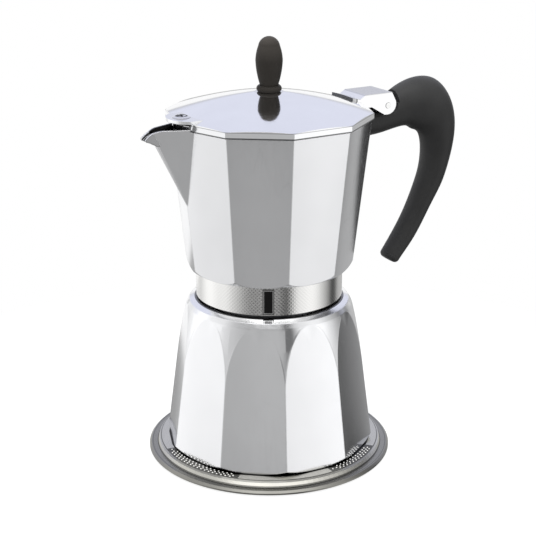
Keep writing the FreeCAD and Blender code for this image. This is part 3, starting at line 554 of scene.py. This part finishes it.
pearl_steel = plain_material(
    "pearl_steel", lathe, {"Colour": (0.95, 0.94, 0.90, 1), "Roughness": 0.16, "Depth": 0.00001},
    Metallic=1.0)
mesh_piece("plate_pearls", build_pearls, "boiler", pearl_steel)

# The boiler: the lower chamber, cast in aluminium with ten flat sides that end in arches under a
# turned shoulder, then polished. The collector screws onto its threaded neck. The mesh is a copy of
# the CAD node's that takes its place, with the shoulder drawn in a little under the band.
CAST_ALUMINIUM = (0.928, 0.932, 0.948)
NECK_RADIUS = 0.0314
NECK_HEIGHT = 0.0126
BOILER_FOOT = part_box("boiler")[0][2]
NECK_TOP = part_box("boiler")[1][2]
NECK_FOOT = NECK_TOP - NECK_HEIGHT
FOOT_SHADE = 0.0009            # height of the foot's rim that is painted dark, as shade in the seam of the plate
FOOT_SHADE_TONE = 0.05
LIP_SHADE = 0.0003             # height of the lip under the band that is painted dark, as shade
LIP_FROM = NECK_FOOT - LIP_SHADE
LIP_SHADE_TONE = 0.16
SHOULDER_FROM = 0.0740         # the shoulder is drawn in above this height
WAIST_TRIM = 0.00175
CROWN_RADIUS = 0.26
BOILER_LEAN = 0.1324           # of the corners, inwards for each metre up
FLAT_LEAN = BOILER_LEAN * math.cos(0.5 * FACET_ANGLE)
FLAT_SKIN = 0.00015
THREAD_PITCH = 0.003
THREAD_DEPTH = 0.0003
THREAD_STEPS = 64
THREAD_PROFILE = ((0.0, -0.36), (0.8, -0.18), (1.0, 0.0), (0.8, 0.18), (0.0, 0.36))
THREAD_FADES = 6.0             # the ridge rises to its full depth in a turn divided by this
THREAD_TIP = 0.02              # share of the depth that is left at the ridge's ends


def polish_group():
    """Upright polishing lines, faint clouds and a few hairline scuffs on a cast face."""
    more_inputs = (("Stretch", "Vector", (1, 1, 1)), ("Edge", "Float", 0.0002))
    group, start, end = finish_start("polished_face", 0.00004, more_inputs)
    along = add_node(group, "ShaderNodeVectorMath", operation="MULTIPLY")
    join(group, *surface_place(group), along, 0)
    join(group, start, "Stretch", along, 1)
    lines = add_node(group, "ShaderNodeTexNoise", {"Scale": 700.0, "Detail": 4.0, "Roughness": 0.6})
    scuffs = add_node(group, "ShaderNodeTexVoronoi", {"Scale": 160.0}, feature="DISTANCE_TO_EDGE")
    for texture in (lines, scuffs):
        join(group, along, 0, texture, "Vector")
    hair = ramp(group, (scuffs, 0), ((0.0, 1.0), (0.012, 0.0)))
    wear = maths(group, "MULTIPLY", hair, 0.06)
    bump = finish_end(group, start, end, lines, clouds=(55.0, 0.965), swing=0.08, strength=0.12, wear=wear)
    rounding = add_node(group, "ShaderNodeBevel", samples=4)
    join(group, start, "Edge", rounding, "Radius")
    join(group, rounding, 0, bump, "Normal")
    return group


polish = polish_group()
boiler_cast = plain_material(
    "boiler_casting", polish,
    {"Colour": (*CAST_ALUMINIUM, 1), "Roughness": 0.15, "Stretch": (1, 1, 0.12), "Edge": 0.0007},
    Metallic=1.0)
boiler_tree = boiler_cast.node_tree
boiler_parts = place_parts(boiler_tree)
boiler_sides = add_node(
    boiler_tree, "ShaderNodeGroup", {"Turn": BOILER_TURN, "Crown Radius": CROWN_RADIUS}, node_tree=facets)
boiler_rise = maths(boiler_tree, "SUBTRACT", (boiler_parts, "Z"), BOILER_FOOT)
flat_lean = maths(boiler_tree, "MULTIPLY", boiler_rise, FLAT_LEAN)
flat_side = maths(boiler_tree, "SUBTRACT", FOOT_FLAT, flat_lean)
off_flat = maths(boiler_tree, "SUBTRACT", flat_side, (boiler_sides, "Outward"))
on_flat = maths(boiler_tree, "LESS_THAN", off_flat, FLAT_SKIN)
boiler_crown = maths(boiler_tree, "MULTIPLY", (boiler_sides, "Crown"), on_flat)
bend_light(boiler_tree, boiler_crown, strength=1.0, distance=1.0)
# Painted shade on the foot's rim, in the seam of the plate.
foot_share = maths(boiler_tree, "DIVIDE", boiler_rise, FOOT_SHADE)
foot_shade_tone = ramp(boiler_tree, foot_share, ((0.0, FOOT_SHADE_TONE), (1.0, 1.0)))
# Painted shade on the lip under the band.
above_lip = maths(boiler_tree, "GREATER_THAN", (boiler_parts, "Z"), LIP_FROM)
off_neck = maths(boiler_tree, "GREATER_THAN", axis_distance(boiler_tree), NECK_RADIUS)
on_lip = maths(boiler_tree, "MULTIPLY", above_lip, off_neck)
lip_shade_tone = ramp(boiler_tree, on_lip, ((0.0, 1.0), (1.0, LIP_SHADE_TONE)))
tone_down(boiler_tree, multiply(boiler_tree, foot_shade_tone, lip_shade_tone))


def build_boiler(work):
    """The boiler's own mesh, with its shoulder drawn in towards the band."""
    work.from_mesh(nodes["boiler"].data)
    bmesh.ops.remove_doubles(work, verts=work.verts, dist=2e-6)
    for vertex in work.verts:
        radius = math.hypot(vertex.co.x, vertex.co.y)
        rise = (vertex.co.z - SHOULDER_FROM) / (NECK_FOOT - SHOULDER_FROM)
        if radius > NECK_RADIUS + WAIST_TRIM and rise > 0:
            vertex.co.xy *= 1 - WAIST_TRIM * min(rise, 1.0) ** 2 / radius


boiler_body = mesh_piece("boiler_body", build_boiler, "boiler", boiler_cast)
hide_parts("boiler")
shade(boiler_body, 3.0)


def build_thread(work, wall, depth, low, high):
    """A rounded helical ridge on a round wall; a negative depth points to the axis."""
    turns = (high - low) / THREAD_PITCH
    rows = []
    for step in range(int(turns * THREAD_STEPS) + 1):
        done = step / THREAD_STEPS
        angle = 2 * math.pi * done
        fade = max(min(1.0, THREAD_FADES * done, THREAD_FADES * (turns - done)), THREAD_TIP)
        row = []
        for out, up in THREAD_PROFILE:
            radius = wall + depth * out * fade
            level = low + THREAD_PITCH * (done + up)
            row.append(work.verts.new((radius * math.cos(angle), radius * math.sin(angle), level)))
        rows.append(row)
    for lower, upper in zip(rows, rows[1:]):
        for index in range(len(THREAD_PROFILE) - 1):
            work.faces.new((lower[index], lower[index + 1], upper[index + 1], upper[index]))


def build_neck_thread(work):
    """The thread outside the neck, clear of its foot and of its top edge."""
    build_thread(work, NECK_RADIUS, THREAD_DEPTH, NECK_FOOT + THREAD_PITCH, NECK_TOP - THREAD_PITCH)


thread_cast = plain_material(
    "cut_thread", lathe, {"Colour": (*CAST_ALUMINIUM, 1), "Roughness": 0.22, "Depth": 0.00003},
    Metallic=1.0)
mesh_piece("neck_thread", build_neck_thread, "boiler", thread_cast)

# The safety valve: a hexagon of turned brass screwed through the boiler's wall on a pale washer,
# with a screwed cap, and inside it a brass plunger held down by a steel spring.
brass = plain_material(
    "turned_brass", polish, {"Colour": (0.83, 0.64, 0.33, 1), "Roughness": 0.22, "Stretch": (0.4, 1, 1)},
    Metallic=1.0)
dress(["valve_body", "valve_cap", "valve_plunger"], brass, 20.0)
spring_steel = plain_material(
    "spring_steel", polish, {"Colour": (0.6, 0.6, 0.6, 1), "Roughness": 0.25}, Metallic=1.0)
dress(["valve_spring"], spring_steel, 20.0)


def moulded_group():
    """The fine even grain of a moulded surface, with slow changes of tone."""
    group, start, end = finish_start("moulded_grain", 0.00003)
    grain = add_node(group, "ShaderNodeTexNoise", {"Scale": 2600.0, "Detail": 3.0})
    join(group, *surface_place(group), grain, "Vector")
    finish_end(group, start, end, grain, clouds=(90.0, 0.82), swing=0.12, strength=0.2)
    return group


moulded = moulded_group()
pale_rubber = plain_material(
    "pale_rubber", moulded, {"Colour": (0.62, 0.60, 0.55, 1), "Roughness": 0.6, "Depth": 0.00006})
dress(["valve_washer"], pale_rubber, 20.0)

# The funnel and its screen: the coffee basket drawn from one aluminium sheet, with a long stem that
# reaches down into the water, and a punched disc dropped on its floor.
spun_sheet = plain_material(
    "spun_sheet", lathe, {"Colour": (0.90, 0.91, 0.93, 1), "Roughness": 0.24, "Depth": 0.00004},
    Metallic=1.0)
dress(["funnel", "funnel_screen"], spun_sheet, 15.0)

# The seal: a pale rubber ring and a punched aluminium disc, pushed up into the collector's collar
# and pressed onto the funnel's flange when the pot is screwed shut.
dress(["gasket"], pale_rubber, 20.0)
punched_sheet = plain_material(
    "punched_sheet", lathe, {"Colour": (0.86, 0.87, 0.89, 1), "Roughness": 0.3, "Depth": 0.00004},
    Metallic=1.0)
dress(["filter_plate"], punched_sheet, 15.0)

# The collector: the upper jug, cast in aluminium with ten flat polished sides, a spout on one corner
# and a lug for the handle on the opposite one. Its inside is left as cast, matt and greyer.
RIM_CORNER = 0.0480
CORNER_LEAN = 0.110
COLLAR_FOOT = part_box("collector")[0][2]
COLLECTOR_RISE = 0.0856
RIM_HEIGHT = COLLAR_FOOT + COLLECTOR_RISE
RIM_EDGE = 0.0004              # the polish goes this far over the rim
WALL_SKIN = 0.0014
COLLAR_BORE = 0.0322
RAW_TONE = 0.72                # as cast, against the polished sides
RAW_ROUGHNESS = 0.2
SPOUT_FROM = 0.0465            # from the axis, outside the rim
SPOUT_DEPTH = 0.0360
SPOUT_RISE = 0.0012
SPOUT_REACH = 0.0624
SPOUT_HEEL = 0.0005            # half width of the keel at its foot, and at the top
SPOUT_NOSE = 0.0027
SPOUT_FLARE = 0.42
SPOUT_SKIN = 0.0006
# painted shade, nearly black, in the spout's channel and the gutter at its lip
SPOUT_SHADE_TONE = 0.03
LIP_FROM_AXIS = 0.0574
BEAK_FROM = 0.0560             # the flat sides of the curled lip, painted darker than the facets as shade
BEAK_SHADE_TONE = 0.34
BEAK_SKIN = 0.00006
GUTTER_HALF = 0.00175
GUTTER_DEPTH = 0.0035
collector_cast = plain_material(
    "collector_casting", polish,
    {"Colour": (*CAST_ALUMINIUM, 1), "Roughness": 0.15, "Stretch": (1, 1, 0.12), "Edge": 0.0006},
    Metallic=1.0)
cast_tree = collector_cast.node_tree
cast_parts = place_parts(cast_tree)
depth_below = maths(cast_tree, "SUBTRACT", RIM_HEIGHT, (cast_parts, "Z"))
lean = maths(cast_tree, "MULTIPLY", depth_below, CORNER_LEAN)
skin = maths(cast_tree, "SUBTRACT", RIM_CORNER * math.cos(0.5 * FACET_ANGLE) - WALL_SKIN, lean)
inside = maths(cast_tree, "LESS_THAN", axis_distance(cast_tree), skin)
below_rim = maths(cast_tree, "GREATER_THAN", depth_below, RIM_EDGE)
reach = maths(cast_tree, "MULTIPLY", (cast_parts, "X"), -1.0)
sideways = maths(cast_tree, "ABSOLUTE", (cast_parts, "Y"))
climb = maths(cast_tree, "SUBTRACT", SPOUT_DEPTH, depth_below)
climb = maths(cast_tree, "DIVIDE", climb, SPOUT_DEPTH + SPOUT_RISE)
keel_foot = RIM_CORNER - CORNER_LEAN * SPOUT_DEPTH
keel = maths(cast_tree, "MULTIPLY", climb, SPOUT_REACH - keel_foot)
keel = maths(cast_tree, "ADD", keel, keel_foot)
keel_half = maths(cast_tree, "MULTIPLY", climb, SPOUT_NOSE - SPOUT_HEEL)
keel_half = maths(cast_tree, "ADD", keel_half, SPOUT_HEEL)
behind_keel = maths(cast_tree, "SUBTRACT", keel, reach)
spout_half = maths(cast_tree, "ADD", maths(cast_tree, "MULTIPLY", behind_keel, SPOUT_FLARE), keel_half)
channel_half = maths(cast_tree, "SUBTRACT", spout_half, SPOUT_SKIN)
within_walls = maths(cast_tree, "LESS_THAN", sideways, channel_half)
before_keel = maths(cast_tree, "GREATER_THAN", behind_keel, SPOUT_SKIN)
in_channel = maths(cast_tree, "MULTIPLY", within_walls, before_keel)
in_channel = maths(cast_tree, "MULTIPLY", maths(cast_tree, "GREATER_THAN", reach, SPOUT_FROM), in_channel)
past_curl = maths(cast_tree, "GREATER_THAN", reach, LIP_FROM_AXIS)
near_top = maths(cast_tree, "LESS_THAN", depth_below, GUTTER_DEPTH)
in_gutter = maths(cast_tree, "MULTIPLY", past_curl, near_top)
in_gutter = maths(cast_tree, "MULTIPLY", in_gutter, maths(cast_tree, "LESS_THAN", sideways, GUTTER_HALF))
in_spout = maths(cast_tree, "MAXIMUM", in_channel, in_gutter)
raw = maths(cast_tree, "MAXIMUM", maths(cast_tree, "MULTIPLY", inside, below_rim), in_spout)
raw_grain = add_node(cast_tree, "ShaderNodeTexNoise", {"Scale": 1500.0, "Detail": 3.0})
join(cast_tree, *surface_place(cast_tree), raw_grain, "Vector")
raw_swing = maths(cast_tree, "MULTIPLY", (raw_grain, 0), RAW_ROUGHNESS)
raw_rough = maths(cast_tree, "MULTIPLY", raw, maths(cast_tree, "ADD", raw_swing, RAW_ROUGHNESS))
cast_rough = maths(cast_tree, "ADD", (cast_tree.nodes["surface"], "Roughness"), raw_rough)
join(cast_tree, *cast_rough, cast_tree.nodes["body"], "Roughness")
# The inside takes the greyer as-cast tone; the spout's channel and gutter are painted nearly black as
# shade.
raw_share = maths(cast_tree, "MULTIPLY", maths(cast_tree, "ADD", raw, in_spout), 0.5)
cast_tone_and_spout_shade = ramp(cast_tree, raw_share, ((0.0, 1.0), (0.5, RAW_TONE), (1.0, SPOUT_SHADE_TONE)))
# Painted shade on the flat sides of the spout's curled lip.
off_side = maths(cast_tree, "ABSOLUTE", maths(cast_tree, "SUBTRACT", sideways, SPOUT_NOSE))
at_side = maths(cast_tree, "LESS_THAN", off_side, BEAK_SKIN)
past_wall = maths(cast_tree, "LESS_THAN", spout_half, SPOUT_NOSE - BEAK_SKIN)
on_beak = maths(cast_tree, "MULTIPLY", at_side, maths(cast_tree, "GREATER_THAN", reach, BEAK_FROM))
on_beak = maths(cast_tree, "MULTIPLY", past_wall, on_beak)
beak_shade = ramp(cast_tree, on_beak, ((0.0, 1.0), (1.0, BEAK_SHADE_TONE)))
tone_down(cast_tree, multiply(cast_tree, cast_tone_and_spout_shade, beak_shade))
cast_sides = add_node(cast_tree, "ShaderNodeGroup", {"Crown Radius": CROWN_RADIUS}, node_tree=facets)
bend_light(cast_tree, (cast_sides, "Crown"), strength=1.0, distance=1.0)
dress(["collector"], collector_cast, 3.0)


def build_collar_thread(work):
    """Three turns in the collar that take the neck's thread."""
    build_thread(work, COLLAR_BORE, -THREAD_DEPTH, COLLAR_FOOT + 0.5 * THREAD_PITCH,
                 COLLAR_FOOT + 3.5 * THREAD_PITCH)


mesh_piece("collar_thread", build_collar_thread, "collector", thread_cast)

# The riser: a tapered cast tube pressed into the collector's floor, closed at the top, with an
# outlet on each side where the coffee wells out.
riser_cast = plain_material(
    "riser_casting", polish, {"Colour": (0.86, 0.865, 0.88, 1), "Roughness": 0.28, "Stretch": (1, 1, 0.3)},
    Metallic=1.0)
dress(["riser_column"], riser_cast, 12.0)

# The trim band: a thin steel strip with a fine diamond knurl rolled into it, bent into a ring and
# pressed over the collector's collar.
KNURL_PITCH = 0.0018
KNURL_DEPTH = 0.0001
BAND_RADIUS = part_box("neck_band")[1][0]
band_steel = plain_material(
    "knurled_steel", polish, {"Colour": (0.95, 0.945, 0.93, 1), "Roughness": 0.11, "Depth": 0.00001},
    Metallic=1.0)
band_tree = band_steel.node_tree
band_parts = place_parts(band_tree)
band_turn = maths(band_tree, "ARCTAN2", (band_parts, "Y"), (band_parts, "X"))
around = maths(band_tree, "MULTIPLY", band_turn, math.pi * BAND_RADIUS / KNURL_PITCH)
upward = maths(band_tree, "MULTIPLY", (band_parts, "Z"), math.pi / KNURL_PITCH)
slant = maths(band_tree, "SINE", maths(band_tree, "ADD", around, upward))
counter = maths(band_tree, "SINE", maths(band_tree, "SUBTRACT", around, upward))
slant = maths(band_tree, "ABSOLUTE", slant)
counter = maths(band_tree, "ABSOLUTE", counter)
diamonds = maths(band_tree, "MINIMUM", slant, counter)
bend_light(band_tree, diamonds, strength=0.22, distance=KNURL_DEPTH)
dress(["neck_band"], band_steel, 15.0)

# The plate on the band: a small upright rectangle of stamped steel, with a bright raised border round
# a dark, bare field, seated flat on the band's outside.
BADGE_ANGLE = math.radians(-121.5)
BADGE_HALF_WIDTH = 0.0027
BADGE_HALF_HEIGHT = 0.0061
BADGE_BORDER = 0.0009
BADGE_RELIEF = 0.0002
BADGE_TONES = ((0.0, 0.10), (0.28, 0.14), (0.36, 1.0), (0.80, 1.0), (0.88, 0.12), (1.0, 0.05))
badge_low, badge_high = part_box("band_badge")
badge_middle = 0.5 * (badge_low[2] + badge_high[2])
badge_steel = plain_material(
    "badge_steel", polish, {"Colour": (0.80, 0.80, 0.79, 1), "Roughness": 0.2}, Metallic=1.0)
badge_tree = badge_steel.node_tree
badge_side = add_node(badge_tree, "ShaderNodeVectorMath", operation="DOT_PRODUCT")
badge_side.inputs[1].default_value = (-math.sin(BADGE_ANGLE), math.cos(BADGE_ANGLE), 0)
join(badge_tree, *surface_place(badge_tree), badge_side, 0)
badge_parts = place_parts(badge_tree)
badge_up = maths(badge_tree, "ABSOLUTE", maths(badge_tree, "SUBTRACT", (badge_parts, "Z"), badge_middle))
badge_across = maths(badge_tree, "ABSOLUTE", (badge_side, "Value"))
from_side = maths(badge_tree, "SUBTRACT", BADGE_HALF_WIDTH, badge_across)
from_end = maths(badge_tree, "SUBTRACT", BADGE_HALF_HEIGHT, badge_up)
inward = maths(badge_tree, "MINIMUM", from_side, from_end)
tone_down(badge_tree, ramp(badge_tree, maths(badge_tree, "DIVIDE", inward, BADGE_BORDER), BADGE_TONES))
field = maths(badge_tree, "GREATER_THAN", inward, BADGE_BORDER)
border = maths(badge_tree, "SUBTRACT", 1.0, field)
bend_light(badge_tree, border, strength=0.8, distance=BADGE_RELIEF)
dress(["band_badge"], badge_steel, 15.0)

# The lid: pressed from aluminium sheet as a low ten-sided dome with a short skirt, and a tongue over
# the spout that is held down by one domed rivet.
LID_SEAM = 0.0008              # painted shadow: a dark strip at the skirt's foot, over the rim
LID_SHADOW_TONE = 0.20
LID_CREASE = 0.0031
LID_CREASE_FROM = 0.0460
LID_CREASE_SHADE = 0.55
LID_LINE_HALF = 0.00018
# Painted reflection on the rivet's dome: rings of light and dark, and dark glints round its middle.
RIVET_REFLECTION_RINGS = ((0.0, 1.0), (0.55, 0.9), (0.66, 0.35), (0.74, 0.95), (0.90, 0.80), (1.0, 0.45))
RIVET_DARK_GLINTS = ((0.51, 0.01), (0.55, 0.15), (0.62, 1.0))
RIVET_HEART = ((0.60, 0.0), (0.76, 1.0))
lid_sheet = plain_material(
    "lid_sheet", polish, {"Colour": (0.94, 0.945, 0.96, 1), "Roughness": 0.075, "Depth": 0.00001},
    Metallic=1.0)
lid_tree = lid_sheet.node_tree
# Painted shadow at the skirt's foot, and painted shade in a thin line along the lid's crease.
over_rim = maths(lid_tree, "SUBTRACT", (place_parts(lid_tree), "Z"), RIM_HEIGHT)
at_foot = maths(lid_tree, "LESS_THAN", over_rim, LID_SEAM)
crease_away = maths(lid_tree, "ABSOLUTE", maths(lid_tree, "SUBTRACT", over_rim, LID_CREASE))
at_edge = maths(lid_tree, "GREATER_THAN", axis_distance(lid_tree), LID_CREASE_FROM)
at_crease = maths(lid_tree, "MULTIPLY", maths(lid_tree, "LESS_THAN", crease_away, LID_LINE_HALF), at_edge)
lid_painted_shade = maths(lid_tree, "MAXIMUM", at_foot, maths(lid_tree, "MULTIPLY", at_crease, LID_CREASE_SHADE))
tone_down(lid_tree, ramp(lid_tree, lid_painted_shade, ((0.0, 1.0), (1.0, LID_SHADOW_TONE))))
dress(["lid"], lid_sheet, 3.0)
rivet_steel = plain_material(
    "rivet_steel", polish, {"Colour": (0.93, 0.93, 0.95, 1), "Roughness": 0.10}, Metallic=1.0)
rivet_tree = rivet_steel.node_tree
rivet_low, rivet_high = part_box("tongue_rivet")
rivet_offset = add_node(rivet_tree, "ShaderNodeVectorMath", operation="SUBTRACT")
rivet_offset.inputs[1].default_value = (0.5 * (rivet_low[0] + rivet_high[0]), 0.0, 0.0)
rivet_flat = add_node(rivet_tree, "ShaderNodeVectorMath", operation="MULTIPLY")
rivet_flat.inputs[1].default_value = (1, 1, 0)
rivet_out = add_node(rivet_tree, "ShaderNodeVectorMath", operation="LENGTH")
join(rivet_tree, *surface_place(rivet_tree), rivet_offset, 0)
join(rivet_tree, rivet_offset, 0, rivet_flat, 0)
join(rivet_tree, rivet_flat, 0, rivet_out, 0)
rivet_share = maths(rivet_tree, "DIVIDE", (rivet_out, "Value"), 0.5 * (rivet_high[0] - rivet_low[0]))
# Painted reflection: the rivet's rings and dark glints.
rivet_glint_noise = add_node(rivet_tree, "ShaderNodeTexNoise", {"Scale": 1000.0, "Detail": 1.0})
join(rivet_tree, *surface_place(rivet_tree), rivet_glint_noise, "Vector")
rivet_dark_glints = ramp(rivet_tree, (rivet_glint_noise, 0), RIVET_DARK_GLINTS)
rivet_glints = maths(rivet_tree, "MAXIMUM", rivet_dark_glints, ramp(rivet_tree, rivet_share, RIVET_HEART))
rivet_reflection_rings = ramp(rivet_tree, rivet_share, RIVET_REFLECTION_RINGS)
tone_down(rivet_tree, maths(rivet_tree, "MULTIPLY", rivet_reflection_rings, rivet_glints))
dress(["tongue_rivet"], rivet_steel, 20.0)

# The hinge: a folded sheet channel riveted on the lid, whose round cheeks turn on a steel pin
# through the knuckle of the handle.
FLAP_DEPTH = 0.0030            # front flap and fold, painted darker than the top as shade, with dark painted lines at the front edge and the fold
FLAP_SHADES = ((0.0, 0.12), (0.10, 0.55), (0.70, 0.60), (0.78, 0.15), (0.92, 0.20), (1.0, 1.0))
# painted shade that dims the bracket's polished top
TOP_SKIN = 0.0004
HINGE_TOP_SHADE = 0.74
hinge_low, hinge_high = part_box("hinge_bracket")
hinge_sheet = plain_material(
    "hinge_sheet", polish, {"Colour": (0.94, 0.94, 0.945, 1), "Roughness": 0.13, "Depth": 0.00002},
    Metallic=1.0)
hinge_tree = hinge_sheet.node_tree
hinge_parts = place_parts(hinge_tree)
# Painted shade on the bracket's front flap, its fold and its top.
from_front = maths(hinge_tree, "SUBTRACT", (hinge_parts, "X"), hinge_low[0])
flap_shade = ramp(hinge_tree, maths(hinge_tree, "DIVIDE", from_front, FLAP_DEPTH), FLAP_SHADES)
under_top = maths(hinge_tree, "SUBTRACT", hinge_high[2], (hinge_parts, "Z"))
on_top = maths(hinge_tree, "LESS_THAN", under_top, TOP_SKIN)
top_shade = ramp(hinge_tree, on_top, ((0.0, 1.0), (1.0, HINGE_TOP_SHADE)))
tone_down(hinge_tree, maths(hinge_tree, "MULTIPLY", flap_shade, top_shade))
dress(["hinge_bracket", "bracket_rivets"], hinge_sheet, 12.0)
pin_steel = plain_material(
    "pin_steel", lathe, {"Colour": (0.92, 0.92, 0.91, 1), "Roughness": 0.2, "Depth": 0.00002}, Metallic=1.0)
dress(["hinge_pin", "handle_pin"], pin_steel, 20.0)

# The handle: one solid moulding of dark heat-proof plastic, fixed by a cross pin on the collector's
# lug. A fine parting line runs along its middle, where the two halves of the mould met.
SEAM_HALF = 0.00012
SEAM_RISE = 0.00008
dark_plastic = plain_material(
    "handle_plastic", moulded, {"Colour": (0.030, 0.030, 0.0303, 1), "Roughness": 0.45},
    **{"Specular IOR Level": 0.2})
seam_tree = dark_plastic.node_tree
seam_away = maths(seam_tree, "ABSOLUTE", (place_parts(seam_tree), "Y"))
seam = ramp(seam_tree, maths(seam_tree, "DIVIDE", seam_away, 2 * SEAM_HALF), ((0.0, 1.0), (1.0, 0.0)))
bend_light(seam_tree, seam, strength=0.4, distance=SEAM_RISE)
dress(["handle"], dark_plastic, 25.0)

# The knob: a turned-looking egg of the same kind of plastic, a little browner than the handle, with a
# ring at its foot. It is held from under the lid by a steel screw and washer.
knob_plastic = plain_material(
    "knob_plastic", moulded, {"Colour": (0.038, 0.0345, 0.031, 1), "Roughness": 0.40, "Depth": 0.00001},
    **{"Specular IOR Level": 0.05})
dress(["knob"], knob_plastic, 25.0)
screw_steel = plain_material(
    "screw_steel", lathe, {"Colour": (0.66, 0.66, 0.66, 1), "Roughness": 0.22, "Depth": 0.00002},
    Metallic=1.0)
dress(["knob_washer", "knob_screw"], screw_steel, 20.0)
